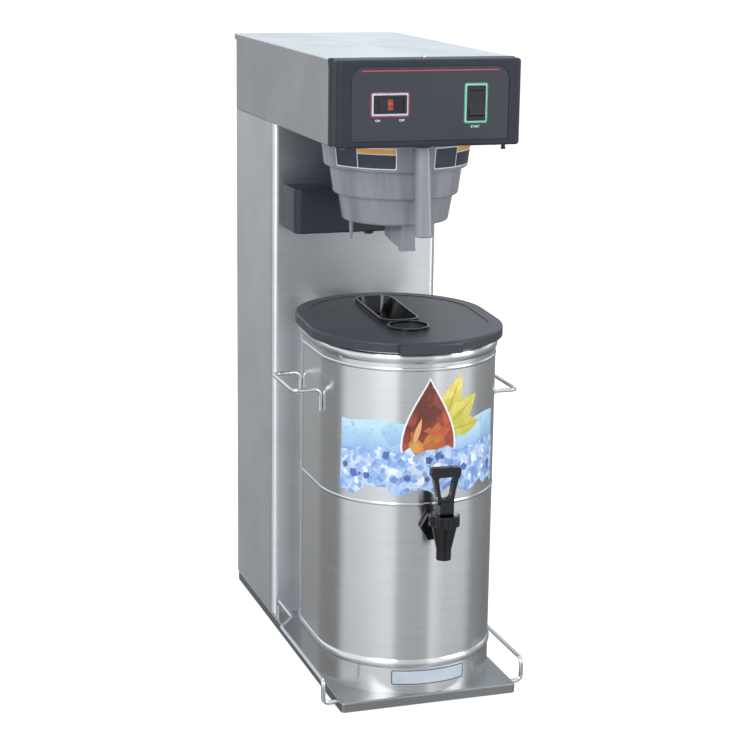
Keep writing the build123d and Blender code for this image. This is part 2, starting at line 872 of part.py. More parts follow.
def dilution_nozzle():
    foot = housing_foot - nozzle_proud
    stub = post(nozzle_x, nozzle_y, foot, foot + nozzle_height, nozzle_diameter / 2)
    stub = chamfer(stub.edges().group_by(Axis.Z)[0], 1.0)
    end = trunk_y + sheet + elbow_reach
    stub += bar_y(nozzle_x, elbow_axis_z, nozzle_y, end, elbow_diameter / 2)
    stub -= post(nozzle_x, nozzle_y, foot, elbow_axis_z, nozzle_bore / 2)
    return stub - bar_y(nozzle_x, elbow_axis_z, nozzle_y, end, elbow_bore / 2)


# ---- Tank, heater, valves and lines inside the cabinet ----------------------

tank_y = trunk_y + tank_front_gap + tank_depth / 2
tank_roof = elbow_axis_z - valve_block[2] / 2 - tank_headroom
tank_rim = tank_roof - tank_lid_thickness
tank_foot = tank_rim - tank_height
element_y = tank_y + tank_depth / 2 - element_rear_gap
brew_valve_top = tank_roof + valve_block[2]
spray_top = spray_foot + spray_thickness + spray_hub_height
valve_y = trunk_y + sheet + elbow_reach + valve_block[1] / 2
inlet_y = back_y - sheet - inlet_block_depth / 2


def tank_shelf():
    """Folded shelf across the trunk, its flanges flat on the side walls."""
    y0 = trunk_y + shelf_front_gap
    shelf = slab(-inside, inside, y0, y0 + shelf_depth, tank_foot - shelf_flange, tank_foot)
    return shelf - slab(-inside + sheet, inside - sheet, y0, y0 + shelf_depth,
                        tank_foot - shelf_flange, tank_foot - sheet)


def water_tank():
    plan = RectangleRounded(tank_width, tank_depth, tank_corner)
    hollow = RectangleRounded(tank_width - 2 * tank_wall, tank_depth - 2 * tank_wall,
                              tank_corner - tank_wall)
    tank = extrude(plan, tank_height) - Pos(0, 0, tank_wall) * extrude(hollow, tank_height)
    return Pos(0, tank_y, tank_foot) * tank


def tank_lid():
    plan = RectangleRounded(tank_width, tank_depth, tank_corner)
    lid = Pos(0, tank_y, tank_rim) * extrude(plan, tank_lid_thickness)
    for side in (-1, 1):
        lid -= post(side * element_spread / 2, element_y, tank_rim - 1, tank_roof + 1,
                    element_diameter / 2 + passage_play)
    lid -= post(probe_x, probe_y, tank_rim - 1, tank_roof + 1, probe_diameter / 2 + passage_play)
    return lid


def heating_element():
    half = element_spread / 2
    top = tank_roof + element_stand
    low = tank_foot + element_clearance
    points = [(-half, element_y, top), (-half, element_y, low), (half, element_y, low),
              (half, element_y, top)]
    loop = rod(points, element_bend, element_diameter)
    for side in (-1, 1):
        loop += post(side * half, element_y, tank_roof, tank_roof + 5, element_diameter)
    return loop


def temperature_probe():
    rod_part = post(probe_x, probe_y, tank_rim - probe_drop, tank_roof + probe_stand, probe_diameter / 2)
    return rod_part + post(probe_x, probe_y, tank_roof, tank_roof + 5, probe_diameter)


def brew_valve():
    """Solenoid valve on the tank lid: block, coil and its stem."""
    x, y, z = valve_block
    block = slab(-x / 2, x / 2, brew_valve_y - y / 2, brew_valve_y + y / 2, tank_roof, brew_valve_top)
    coil_y = brew_valve_y + y / 2
    middle = tank_roof + z / 2
    return block + bar_y(0, middle, coil_y, coil_y + valve_coil_height, valve_coil_radius - 1)


def brew_line():
    height = hood_bottom + brew_line_rise
    points = [(0, funnel_y, spray_top), (0, funnel_y, height),
              (0, brew_valve_y, height), (0, brew_valve_y, brew_valve_top)]
    return rod(points, line_bend, line_diameter)


def dilution_valve():
    """Solenoid valve behind the trunk's front wall, on the nozzle's elbow."""
    x, y, z = valve_block
    return slab(nozzle_x - x / 2, nozzle_x + x / 2, valve_y - y / 2, valve_y + y / 2,
                elbow_axis_z - z / 2, elbow_axis_z + z / 2)


def inlet_valve():
    """Inlet block behind the back panel with its threaded tail and nut outside."""
    x, y, z = valve_block
    rear = back_y - sheet
    block = slab(inlet_x - x / 2, inlet_x + x / 2, rear - inlet_block_depth, rear,
                 inlet_z - z / 2, inlet_z + z / 2)
    block += post(inlet_x, inlet_y, inlet_z + z / 2, inlet_z + z / 2 + valve_coil_height,
                  valve_coil_radius)
    block += bar_y(inlet_x, inlet_z, rear, back_y + inlet_proud, inlet_pipe / 2)
    return block - bar_y(inlet_x, inlet_z, back_y, back_y + inlet_proud, inlet_pipe / 2 - 3)


def inlet_nut_ring():
    plane = Plane(origin=(inlet_x, back_y, inlet_z), x_dir=(1, 0, 0), z_dir=(0, 1, 0))
    across = inlet_nut / 2 / math.cos(math.pi / 6)
    nut = extrude(plane * RegularPolygon(across, 6), inlet_nut_length)
    return nut - bar_y(inlet_x, inlet_z, back_y - 1, back_y + inlet_nut_length + 1,
                       inlet_pipe / 2 + passage_play)


def fill_line():
    """From the inlet block's side, up behind the tank, forward and up to its floor."""
    x0 = inlet_x - valve_block[0] / 2
    x1 = x0 - inlet_line_reach
    y1 = tank_y + tank_depth / 2 - fill_rear_gap
    points = [(x0, inlet_y, inlet_z), (x1, inlet_y, inlet_z), (x1, inlet_y, fill_turn_height),
              (x1, y1, fill_turn_height), (x1, y1, tank_foot - sheet)]
    return rod(points, line_bend, line_diameter)


def cord_gland():
    rear = back_y - sheet
    outer = gland_nut / 2
    body = bar_y(gland_x, gland_z, rear - gland_nut_length, rear, outer)
    body += bar_y(gland_x, gland_z, rear, back_y, gland_pipe / 2)
    body += bar_y(gland_x, gland_z, back_y, back_y + gland_proud, outer - 1.5)
    body = chamfer(body.edges().group_by(Axis.Y)[-1], 2)
    return body - bar_y(gland_x, gland_z, rear - 20, back_y + gland_proud + 1, gland_bore / 2)


def control_board():
    """Circuit board on four stand-offs with its relay and transformer."""
    floor = hood_bottom + sheet
    base = floor + board_stand
    x = board_width / 2
    y0 = board_y - board_depth / 2
    y1 = board_y + board_depth / 2
    board = slab(-x, x, y0, y1, base, base + board_thickness)
    for px in (-x + 8, x - 8):
        for py in (y0 + 8, y1 - 8):
            board += post(px, py, floor, base, board_stand_radius)
    top = base + board_thickness
    board += slab(-70, -30, y0 + 12, y1 - 24, top, top + board_part_height * 1.5)
    return board + slab(35, 60, y0 + 16, y1 - 36, top, top + board_part_height)


# ---- Dispenser: the wall is one profile taken round the oval ----------------

def wall_profile(radius, wall, z0, z1, beads, hem):
    """Section of a beaded sheet wall, drawn in the XZ plane."""
    pieces = []
    for face, inset in ((radius, 0.0), (radius - wall, wall / 2)):
        z = z0
        for low, high, bulge in beads:
            pieces.append(Line((face, z), (face, low + inset)))
            pieces.append(ThreePointArc((face, low + inset), (face + bulge, (low + high) / 2),
                                        (face, high - inset)))
            z = high - inset
        if inset:
            pieces.append(Line((face, z), (face, z1)))
        else:
            pieces.append(Line((face, z), (face, z1 - hem[0])))
            pieces.append(ThreePointArc((face, z1 - hem[0]), (face + hem[1], z1 - hem[0] / 2),
                                        (face, z1)))
    pieces.append(Line((radius, z0), (radius - wall, z0)))
    pieces.append(Line((radius, z1), (radius - wall, z1)))
    return Plane.XZ * make_face(Curve() + pieces)


def around_oval(section, straight):
    """Take a section at +X round two half circles and two straight sides."""
    half = revolve(section, Axis.Z, 180)
    side = extrude(section, straight / 2, both=True)
    back = Pos(0, straight / 2, 0) * half
    return back + mirror(back, Plane.XZ) + side + mirror(side, Plane.YZ)


def oval(radius, straight, z0, z1):
    plan = Rot(0, 0, 90) * SlotCenterToCenter(straight, 2 * radius)
    return Pos(0, 0, z0) * extrude(plan, z1 - z0)


front_arc_y = dispenser_y - shell_straight / 2
shell_front = front_arc_y - shell_radius
faucet_y = shell_front - faucet_reach
shell_foot = tray_top + shell_clearance


def dispenser_shell():
    beads = [foot_bead, mid_bead]
    for low, high, bulge in (neck_bead, top_bead):
        beads.append((shell_top - low, shell_top - high, bulge))
    section = wall_profile(shell_radius, shell_wall, shell_foot, shell_top, beads,
                           (hem_height, hem_bulge))
    shell = Pos(0, dispenser_y, 0) * around_oval(section, shell_straight)
    hole = shank_diameter / 2 + shank_play
    return shell - bar_y(0, shank_z, shell_front - 5, shell_front + 10, hole)


def dispenser_floor():
    radius = shell_radius - shell_wall - floor_gap
    low = floor_z - floor_skirt
    pan = oval(radius, shell_straight, low, floor_z)
    pan -= oval(radius - shell_wall, shell_straight, low, floor_z - shell_wall)
    return Pos(0, dispenser_y, 0) * pan


def side_handle(side, shift, drop):
    """Bent wire: two welded legs, two arms and the grip; side is -1 on the left."""
    z = shell_top - drop
    ends = []
    for y in (shift - grip_span / 2, shift + grip_span / 2):
        beyond = abs(y) - shell_straight / 2
        root = math.sqrt((shell_radius + grip_wire / 2 + floor_gap) ** 2 - beyond ** 2)
        ends.append((side * root, y))
    far = side * (shell_radius + grip_reach)
    (x0, y0), (x1, y1) = ends
    points = [(x0, y0, z - grip_leg), (x0, y0, z), (far, y0, z), (far, y1, z),
              (x1, y1, z), (x1, y1, z - grip_leg)]
    return Pos(0, dispenser_y, 0) * rod(points, grip_bend, grip_wire)


def name_plate():
    inner = shell_radius + floor_gap
    ring = post(0, 0, plate_foot, plate_head, inner + plate_thickness)
    ring -= post(0, 0, plate_foot, plate_head, inner)
    plane = Plane(origin=(0, 0, (plate_foot + plate_head) / 2), x_dir=(1, 0, 0), z_dir=(0, -1, 0))
    blank = RectangleRounded(plate_width, plate_head - plate_foot, plate_corner)
    window = extrude(plane * blank, shell_radius + 10)
    return Pos(0, front_arc_y, 0) * (ring & window)


# ---- Faucet -----------------------------------------------------------------

def hex_bar(flats, y0, y1):
    plane = Plane(origin=(0, y1, shank_z), x_dir=(1, 0, 0), z_dir=(0, -1, 0))
    return extrude(plane * RegularPolygon(flats / 2 / math.cos(math.pi / 6), 6), y1 - y0)


def faucet_body():
    """Spout, flared cup with the seat, and the shank that goes through the wall."""
    flare = turned([(0, spout_tube_foot), (spout_tube_radius, spout_tube_foot),
                    (spout_tube_radius, spout_tube_head), (faucet_cup_radius, faucet_cup_top - 5),
                    (faucet_cup_radius, faucet_cup_top), (0, faucet_cup_top)])
    body = Pos(0, faucet_y, 0) * flare
    inner_y = shell_front + shank_inside
    body += bar_y(0, shank_z, faucet_y, inner_y, shank_diameter / 2)
    body -= post(0, faucet_y, seat_z, faucet_cup_top, faucet_chamber_radius)
    body -= post(0, faucet_y, spout_tube_foot, seat_z, spout_bore / 2)
    reach = faucet_y + spout_bore / 2 + 3
    body -= bar_y(0, shank_z, reach, inner_y, shank_bore / 2)
    return body - slab(-3, 3, reach, faucet_y + faucet_chamber_radius, shank_z, seat_z)


def shank_nuts():
    """Collar nut outside the wall and lock nut inside it."""
    bore = shank_diameter / 2 + shank_play
    y1 = shell_front - gasket_thickness
    outer = hex_bar(nut_flats, y1 - nut_length, y1)
    y0 = shell_front + shell_wall + gasket_thickness
    inner = hex_bar(inner_nut_flats, y0, y0 + inner_nut_length)
    hole = bar_y(0, shank_z, shell_front - 30, shell_front + 30, bore)
    return group(outer - hole, inner - hole)


def shank_gaskets():
    """Rubber washers shaped to the curved wall."""
    radius = gasket_diameter / 2
    bore = shank_diameter / 2 + shank_play
    y0 = shell_front - gasket_thickness
    y1 = shell_front + shell_wall + gasket_thickness
    outer = bar_y(0, shank_z, y0, shell_front + 6, radius)
    outer -= post(0, front_arc_y, shank_z - 30, shank_z + 30, shell_radius + floor_gap)
    wall = post(0, front_arc_y, shank_z - 30, shank_z + 30, shell_radius - shell_wall - floor_gap)
    inner = bar_y(0, shank_z, shell_front, y1, radius - 2) & wall
    hole = bar_y(0, shank_z, shell_front - 30, shell_front + 30, bore)
    return group(outer - hole, inner - hole)


def faucet_bonnet():
    """Scalloped cap with a slot for the lever and a well for the seat cup."""
    cap = post(0, 0, bonnet_foot, bonnet_top, bonnet_radius)
    cap = chamfer(cap.edges().group_by(Axis.Z)[-1], 1.8)
    cap -= post(0, 0, bonnet_foot, faucet_cup_top, faucet_cup_radius + floor_gap)
    reach = bonnet_radius + bonnet_scallop_radius - bonnet_scallop_depth
    for i in range(bonnet_scallops):
        a = 2 * math.pi * (i + 0.5) / bonnet_scallops
        cap -= post(reach * math.cos(a), reach * math.sin(a), bonnet_foot, bonnet_top,
                    bonnet_scallop_radius)
    half = lever_width / 2 + lever_slot_gap
    rear = lever_barrel_radius + lever_slot_gap
    cap -= slab(-half, half, -lever_slot_front, rear, faucet_cup_top, bonnet_top)
    cap -= post(0, 0, faucet_cup_top, pivot_z, seat_cup_radius)
    cap -= bar_x(-bonnet_radius, bonnet_radius, 0, pivot_z, pivot_pin / 2)
    return Pos(0, faucet_y, 0) * cap


def lever_pin():
    half = bonnet_radius - bonnet_scallop_depth
    return bar_x(-half, half, faucet_y, pivot_z, pivot_pin / 2)


def faucet_lever():
    """Forked barrel on the pin, a block above the bonnet, and a loop up to the top bar."""
    bar = lever_outline[-1][0]
    side = lever_outline + [(bar, lever_top)]
    outline = Polyline(*side, *[(-x, z) for x, z in reversed(side)], close=True)
    face = make_face(outline)
    face = fillet(face.vertices().group_by(Axis.Y)[-1], 4.5)
    shoulder = [v for v in face.vertices() if abs(v.Y - lever_outline[-1][1]) < 0.01]
    face = fillet(shoulder, 3)
    a = lever_hole_foot_width / 2
    b = lever_hole_head_width / 2
    hole = make_face(Polyline((-a, lever_hole_foot), (a, lever_hole_foot),
                              (b, lever_hole_head), (-b, lever_hole_head), close=True))
    hole = fillet(hole.vertices().group_by(Axis.Y)[0], 6)
    hole = fillet(hole.vertices().group_by(Axis.Y)[-1], 3)
    plane = Plane(origin=(0, lever_plate_thickness / 2, 0), x_dir=(1, 0, 0), z_dir=(0, -1, 0))
    lever = extrude(plane * (face - hole), lever_plate_thickness)
    half = lever_width / 2
    deep = lever_block_depth / 2
    block = slab(-half, half, -deep, deep, lever_block_foot, lever_block_head)
    block = chamfer(block.faces().sort_by(Axis.Z)[-1].edges(), 2.5)
    reach = lever_barrel_radius
    lever += block + slab(-half, half, -reach, reach, pivot_z, lever_block_foot)
    lever += bar_x(-half, half, 0, pivot_z, reach)
    lever -= bar_x(-half, half, 0, pivot_z, pivot_pin / 2 + pivot_play)
    fork = lever_fork / 2
    lever -= slab(-fork, fork, -reach - 1, reach + 1, pivot_z - reach - 1, pivot_z + pivot_pin / 2 + 1)
    return Pos(0, faucet_y, 0) * lever


def seat_cup():
    """Rubber cup on the seat with the stem that the lever lifts."""
    cup = post(0, faucet_y, seat_z, seat_z + seat_cup_height, seat_cup_radius)
    cup = chamfer(cup.edges().group_by(Axis.Z)[-1], 1.2)
    return cup + post(0, faucet_y, seat_z + seat_cup_height, seat_stem_top, seat_stem / 2)


# ---- Dispenser lid with the brew-through port -------------------------------

def dispenser_lid():
    """Loose lid drawn about its own centre, lying a few degrees round on the dispenser."""
    top = shell_top + lid_seat_gap + lid_plate
    foot = top - lid_drop
    under = top - lid_plate
    port_head = top + port_rise
    port_foot = top - port_depth
    lid = oval(lid_radius, lid_straight, foot, top)
    lid = fillet(lid.faces().sort_by(Axis.Z)[-1].edges(), lid_edge_round)
    lid += Pos(0, -tab_reach / 2, foot) * extrude(
        RectangleRounded(tab_width, tab_reach, tab_corner), lid_drop - tab_drop)
    lid -= oval(lid_radius - lid_skirt, lid_straight, foot, under)
    lid -= oval(lid_radius - lid_step_inset, lid_straight, top - lid_step_depth, top)
    ridge = shell_radius - shell_wall - ridge_gap
    lid += oval(ridge, shell_straight, top - ridge_drop, under) - oval(
        ridge - ridge_wall, shell_straight, top - ridge_drop, under)
    length = port_rear - port_front
    centre = (port_x, (port_rear + port_front) / 2)
    rim = RectangleRounded(port_width, length, port_corner)
    mouth = RectangleRounded(port_width - 2 * port_wall, length - 2 * port_wall,
                             port_corner - port_wall)
    lid += Pos(*centre, under) * extrude(rim, port_head - under)
    lid += Pos(*centre, under) * extrude(rim, port_foot - under, taper=port_taper)
    lid -= Pos(*centre, port_head) * extrude(mouth, port_foot + port_floor - port_head, taper=port_taper)
    drain = RectangleRounded(port_drain_width, port_drain_length, port_drain_width / 2 - 0.5)
    lid -= Pos(*centre, port_foot) * extrude(drain, port_floor)
    ring = post(ring_x, -ring_reach, under, port_head, ring_radius)
    lid += chamfer(ring.edges().group_by(Axis.Z)[-1], 0.8)
    lid -= post(ring_x, -ring_reach, under + 1, port_head, ring_radius - ring_wall)
    return Pos(0, dispenser_y, 0) * Rot(0, 0, -lid_turn) * lid


# ---- Write every piece ------------------------------------------------------

os.makedirs("parts", exist_ok=True)

left_rail = guide_rail()
power_body, power_rocker, power_lamp = power_parts()
start_body, start_rocker = start_parts()

pieces = {
    "base_tray": base_tray(),
    "tray_feet": tray_feet(),
    "guide_rail_left": left_rail,
    "guide_rail_right": mirror(left_rail, Plane.YZ),
    "trunk_shell": trunk_shell(),
    "back_panel": back_panel(),
    "back_panel_screws": back_panel_screws(),
    "hood_shell": hood_shell(),
    "top_cover": top_cover(),
    "control_panel": control_panel(),
    "control_overlay": control_overlay(),
    "panel_screw": panel_screw(),
    "panel_pin": panel_pin(),
    "power_switch_body": power_body,
    "power_rocker": power_rocker,
    "power_lamp": power_lamp,
    "start_switch_body": start_body,
    "start_rocker": start_rocker,
    "funnel_rails": funnel_rails(),
    "spray_head": spray_head(),
    "brew_funnel": brew_funnel(),
    "filter_basket": filter_basket(),
    "dilution_housing": dilution_housing(),
    "dilution_nozzle": dilution_nozzle(),
    "tank_shelf": tank_shelf(),
    "water_tank": water_tank(),
    "tank_lid": tank_lid(),
    "heating_element": heating_element(),
    "temperature_probe": temperature_probe(),
    "brew_valve": brew_valve(),
    "brew_line": brew_line(),
    "dilution_valve": dilution_valve(),
    "inlet_valve": inlet_valve(),
    "inlet_nut": inlet_nut_ring(),
    "fill_line": fill_line(),
    "cord_gland": cord_gland(),
    "control_board": control_board(),
    "dispenser_shell": dispenser_shell(),
    "dispenser_floor": dispenser_floor(),
    "side_handle_left": side_handle(-1, left_grip_shift, left_grip_drop),
    "side_handle_right": side_handle(1, right_grip_shift, right_grip_drop),
    "name_plate": name_plate(),
    "faucet_body": faucet_body(),
    "shank_nuts": shank_nuts(),
    "shank_gaskets": shank_gaskets(),
    "faucet_bonnet": faucet_bonnet(),
    "lever_pin": lever_pin(),
    "faucet_lever": faucet_lever(),
    "seat_cup": seat_cup(),
    "dispenser_lid": dispenser_lid(),
}

for node, shape in pieces.items():
    save(node, shape)
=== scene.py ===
"""Countertop iced tea maker: finishes, printed graphics, studio and camera."""

import bmesh
import bpy
import math
import random
from mathutils import Matrix, Vector


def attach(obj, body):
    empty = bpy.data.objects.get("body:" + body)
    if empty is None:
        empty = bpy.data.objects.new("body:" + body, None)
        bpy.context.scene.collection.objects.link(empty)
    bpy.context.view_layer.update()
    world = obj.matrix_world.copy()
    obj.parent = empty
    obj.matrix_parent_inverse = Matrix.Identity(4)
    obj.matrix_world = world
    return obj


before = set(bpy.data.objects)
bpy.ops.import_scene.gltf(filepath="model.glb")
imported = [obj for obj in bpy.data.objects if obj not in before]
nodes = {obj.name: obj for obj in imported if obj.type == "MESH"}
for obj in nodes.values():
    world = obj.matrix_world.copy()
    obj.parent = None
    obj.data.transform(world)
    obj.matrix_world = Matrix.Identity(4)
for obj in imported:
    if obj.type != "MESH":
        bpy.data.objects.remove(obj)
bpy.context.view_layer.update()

# The drawings are made from the base's centre; the frame's origin is this far behind it.
BASE_Y = 0.0195


def linear(code, alpha=1.0):
    """sRGB hex to linear RGBA."""
    parts = [int(code[i:i + 2], 16) / 255 for i in (1, 3, 5)]
    parts = [c / 12.92 if c <= 0.04045 else ((c + 0.055) / 1.055) ** 2.4 for c in parts]
    return (*parts, alpha)


def add(tree, kind, settings=None, links=None, stops=()):
    """One node with its settings (attributes or socket values), input links and ramp stops."""
    made = tree.nodes.new(kind)
    for key, value in (settings or {}).items():
        if isinstance(key, str) and hasattr(made, key):
            setattr(made, key, value)
        else:
            made.inputs[key].default_value = value
    for key, source in (links or {}).items():
        tree.links.new(source, made.inputs[key])
    for index, (position, colour) in enumerate(stops):
        elements = made.color_ramp.elements
        element = elements[index] if index < 2 else elements.new(position)
        element.position, element.color = position, colour
    return made


def finish_of(name, dark, light, grain, rough, depth, tone, spread, share, settings=None):
    """A material whose colour drifts between two tones. The grain and the slower tone are in
    cycles per metre along X, Y and Z. The grain has the given share in the colour, and gives
    the fine relief (depth) and the change in gloss (rough, plus or minus spread)."""
    made = bpy.data.materials.new(name)
    made.use_nodes = True
    tree = made.node_tree
    shader = tree.nodes["Principled BSDF"]
    for key, value in (settings or {}).items():
        shader.inputs[key].default_value = value
    place = add(tree, "ShaderNodeTexCoord").outputs["Object"]
    noises = []
    for stretch in (grain, tone):
        run = add(tree, "ShaderNodeMapping", {"Scale": stretch}, {"Vector": place})
        noises.append(add(tree, "ShaderNodeTexNoise", {"Scale": 1.0, "Detail": 3.0},
                          {"Vector": run.outputs["Vector"]}).outputs["Fac"])
    soft = add(tree, "ShaderNodeMath", {"operation": "MULTIPLY", 1: 1.0 - share}, {0: noises[1]})
    both = add(tree, "ShaderNodeMath", {"operation": "MULTIPLY_ADD", 1: share},
               {0: noises[0], 2: soft.outputs[0]})
    colour = add(tree, "ShaderNodeValToRGB", {}, {"Fac": both.outputs[0]},
                 ((0.35, linear(dark)), (0.65, linear(light))))
    gloss = add(tree, "ShaderNodeMapRange",
                {"From Min": 0.3, "From Max": 0.7, "To Min": rough - spread,
                 "To Max": rough + spread}, {"Value": noises[0]})
    relief = add(tree, "ShaderNodeBump", {"Strength": depth, "Distance": 0.0002},
                 {"Height": noises[0]})
    tree.links.new(colour.outputs["Color"], shader.inputs["Base Color"])
    tree.links.new(gloss.outputs["Result"], shader.inputs["Roughness"])
    tree.links.new(relief.outputs["Normal"], shader.inputs["Normal"])
    return made


def steel(name, dark, light, grain, rough, anisotropy=0.0, rotation=0.0):
    """Stainless brushed on a belt: fine scratches one way, faint clouds, and a shine that is
    stretched across the scratches (rotation 0 is level, 0.25 is upright)."""
    made = finish_of(name, dark, light, grain, rough, 0.06, (9.0, 9.0, 9.0), 0.04, 0.45,
                     {"Metallic": 1.0, "Anisotropic": anisotropy,
                      "Anisotropic Rotation": rotation})
    tree = made.node_tree
    level = add(tree, "ShaderNodeTangent", {"direction_type": "RADIAL", "axis": "Z"})
    tree.links.new(level.outputs["Tangent"], tree.nodes["Principled BSDF"].inputs["Tangent"])
    return made


def plastic(name, dark, light, rough, grain_mm, depth, settings=None):
    """Moulded polymer: an even colour and the fine texture of the mould's surface."""
    fine = 1000.0 / grain_mm
    return finish_of(name, dark, light, (fine, fine, fine), rough, depth, (14.0, 14.0, 14.0),
                     0.03, 0.2, {"IOR": 1.49, **(settings or {})})


def ink(name, dark, light):
    """Screen-printed ink: opaque, with slight unevenness from the mesh."""
    return finish_of(name, dark, light, (1600.0, 1600.0, 1600.0), 0.38, 0.03,
                     (60.0, 60.0, 60.0), 0.04, 0.3, {"IOR": 1.5})


# The lid's flat top, the middle and half size of its port, and the angle at which it lies.
LID_TOP = 0.5122
PORT_MIDDLE, PORT_HALF = (-0.0032, BASE_Y - 0.0797, 0.0), (0.0280, 0.0855, 1.0)
LID_TURN = math.radians(-4.0)


def polish_rims_shade_port(material):
    """Make the lid's raised rims and its port's well near black and glossier than the rest; in
    the well the near black is painted shade.
    """
    tree = material.node_tree
    shader = tree.nodes["Principled BSDF"]
    place = add(tree, "ShaderNodeTexCoord").outputs["Object"]
    across = add(tree, "ShaderNodeMapping",
                 {"vector_type": "TEXTURE", "Location": PORT_MIDDLE, "Scale": PORT_HALF,
                  "Rotation": (0.0, 0.0, LID_TURN)}, {"Vector": place})
    inside = add(tree, "ShaderNodeVectorMath", {"operation": "ABSOLUTE"},
                 {0: across.outputs["Vector"]})
    sides = add(tree, "ShaderNodeSeparateXYZ", {}, {0: inside.outputs[0]})
    widest = add(tree, "ShaderNodeMath", {"operation": "MAXIMUM"},
                 {0: sides.outputs["X"], 1: sides.outputs["Y"]})
    # Inside the port's outline: the well, where the near-black colour is painted shade.
    shaded_trough = add(tree, "ShaderNodeMath", {"operation": "LESS_THAN", 1: 1.0},
                 {0: widest.outputs[0]})
    height = add(tree, "ShaderNodeSeparateXYZ", {}, {0: place})
    raised = add(tree, "ShaderNodeMath", {"operation": "GREATER_THAN", 1: LID_TOP},
                 {0: height.outputs["Z"]})
    polish_and_shade = add(tree, "ShaderNodeMath", {"operation": "MAXIMUM"},
                 {0: shaded_trough.outputs[0], 1: raised.outputs[0]})
    # Near black and glossy on the rims; in the port's well the near black is painted shade.
    for socket, value in (("Base Color", linear("#15161A")),
                          ("Roughness", (0.14, 0.14, 0.14, 1.0))):
        rest = shader.inputs[socket].links[0].from_socket
        choice = add(tree, "ShaderNodeMix", {"data_type": "RGBA", 7: value},
                     {0: polish_and_shade.outputs[0], 6: rest})
        tree.links.new(choice.outputs[2], shader.inputs[socket])


# Scratches are about 0.5 mm apart across the grain; real ones are finer but wouldn't show.
# Cabinet sheet: brushed up and down, cool grey, wide soft shine.
cabinet_steel = steel("brushed_stainless_cabinet", "#D3D6DA", "#E4E7EA",
                      (2000.0, 2000.0, 12.0), 0.24, 0.8)
# Trunk sheet: brushed level, so what stands before it shows only as soft upright bands.
trunk_steel = steel("brushed_stainless_trunk", "#DBDEE2", "#ECEFF2",
                    (14.0, 14.0, 1600.0), 0.34, 0.85, 0.25)
# Tray sheet: a darker grey painted in as shade, standing in for the dim reflection on its top,
# with a duller shine.
shaded_tray_steel = steel("brushed_stainless_tray_painted_shade", "#979A9D", "#A8ABAE",
                   (2000.0, 12.0, 2000.0), 0.34, 0.5)
# Vessel: brushed round the wall on a turning table, brighter and a little warmer.
vessel_steel = steel("brushed_stainless_vessel", "#E6E7E8", "#F0F1F2",
                     (14.0, 14.0, 1600.0), 0.22, 0.7, 0.25)
# Wire and pins: drawn and tumbled, so bright all round.
wire_steel = steel("drawn_stainless_wire", "#D5D7DA", "#E6E8EA", (900.0, 900.0, 900.0), 0.18)
# Panel and housings: moulded ABS, near black with a blue cast and a soft sheen.
bezel_plastic = plastic("abs_bezel_charcoal", "#2B2E39", "#323541", 0.46, 0.6, 0.08,
                        {"Specular IOR Level": 0.3})
housing_plastic = plastic("abs_housing_black", "#252936", "#2C303D", 0.36, 0.6, 0.1)
# Lid: matt charcoal with a coarse mould texture, polished and darker on its rims; painted shade
# makes its port's well near black.
lid_plastic = plastic("polypropylene_lid", "#383A43", "#3F414A", 0.42, 0.9, 0.2)
polish_rims_shade_port(lid_plastic)
# Faucet: polished acetal, black and glossy; switches and label film are duller.
faucet_plastic = plastic("acetal_faucet_black", "#0C0D11", "#121318", 0.16, 1.2, 0.03)
switch_plastic = plastic("nylon_switch_black", "#1B1D24", "#22242B", 0.3, 0.6, 0.06)
label_film = plastic("polycarbonate_label", "#34363F", "#393B45", 0.4, 0.5, 0.08)
# Funnel: smoked see-through resin seen deep enough to look solid; flow streaks run down it.
funnel_plastic = finish_of("smoked_copolyester", "#7F8189", "#9A9BA3", (90.0, 90.0, 3.0), 0.2,
                           0.03, (35.0, 35.0, 2.0), 0.04, 0.4,
                           {"IOR": 1.57, "Transmission Weight": 0.08, "Coat Weight": 0.3,
                            "Coat Roughness": 0.12})
# Feet, gaskets and seat: dull rubber. Inside: brass, nickelled tube, silicone, circuit board.
rubber_black = plastic("nitrile_rubber", "#17181A", "#1E1F22", 0.6, 0.5, 0.2)
brass_cast = steel("cast_brass", "#A98B4A", "#C2A662", (700.0, 700.0, 700.0), 0.35)
heater_tube = steel("nickel_heater_tube", "#8C8072", "#A39583", (700.0, 700.0, 700.0), 0.4)
hose_silicone = plastic("silicone_hose", "#C9C4B8", "#D6D1C6", 0.45, 0.8, 0.1)
board_laminate = plastic("glass_epoxy_board", "#1D5A35", "#246B40", 0.4, 0.8, 0.1)
# Lamp: tinted acrylic, moulded in fine ribs about 1.6 mm apart.
lamp_lens = finish_of("acrylic_lamp_amber", "#5E2620", "#B9553C", (40.0, 40.0, 620.0), 0.22,
                      0.3, (40.0, 40.0, 620.0), 0.03, 0.8,
                      {"IOR": 1.49, "Emission Color": linear("#D0553A"),
                       "Emission Strength": 0.06})
# Name plate: pale blue-grey enamel under a clear coat.
plate_enamel = finish_of("enamelled_plate", "#B7C2CF", "#C6D0DB", (900.0, 900.0, 900.0), 0.25,
                         0.03, (20.0, 20.0, 20.0), 0.03, 0.2, {"Coat Weight": 0.4})

